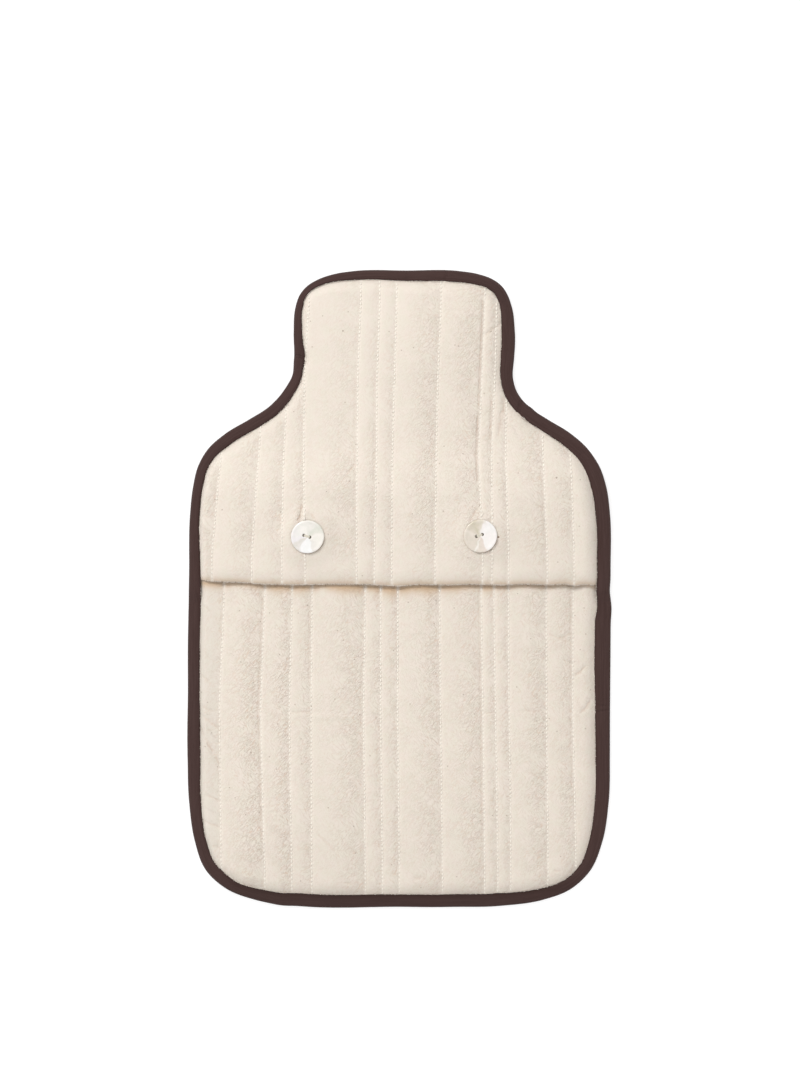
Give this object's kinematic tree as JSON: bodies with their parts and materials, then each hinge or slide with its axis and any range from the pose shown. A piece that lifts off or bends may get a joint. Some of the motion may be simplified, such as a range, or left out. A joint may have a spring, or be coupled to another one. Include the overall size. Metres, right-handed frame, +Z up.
{
  "type": "hot water bottle cover",
  "caption": "Quilted cloth cover in the shape of a hot water bottle, bound all round, with a buttoned flap over a pouch.",
  "frame": {"origin": "on the surface that the cover lies on, under the middle of its outline", "axes": "+Y towards the neck, +Z up out of the front, +X to the right as seen from the front"},
  "size_m": [0.2495, 0.3761, 0.022],
  "materials": {
    "quilted_cotton": "brushed cream cotton, machine quilted in uneven vertical channels",
    "binding_cotton": "plain-woven dark brown cotton strip, folded over the rim",
    "pearl_shell": "polished mother-of-pearl"
  },
  "bodies": {
    "root": {"back_panel": "quilted_cotton", "front_lower": "quilted_cotton", "front_upper": "quilted_cotton", "binding": "binding_cotton", "button_left": "pearl_shell", "button_right": "pearl_shell"}
  },
  "joints": []
}
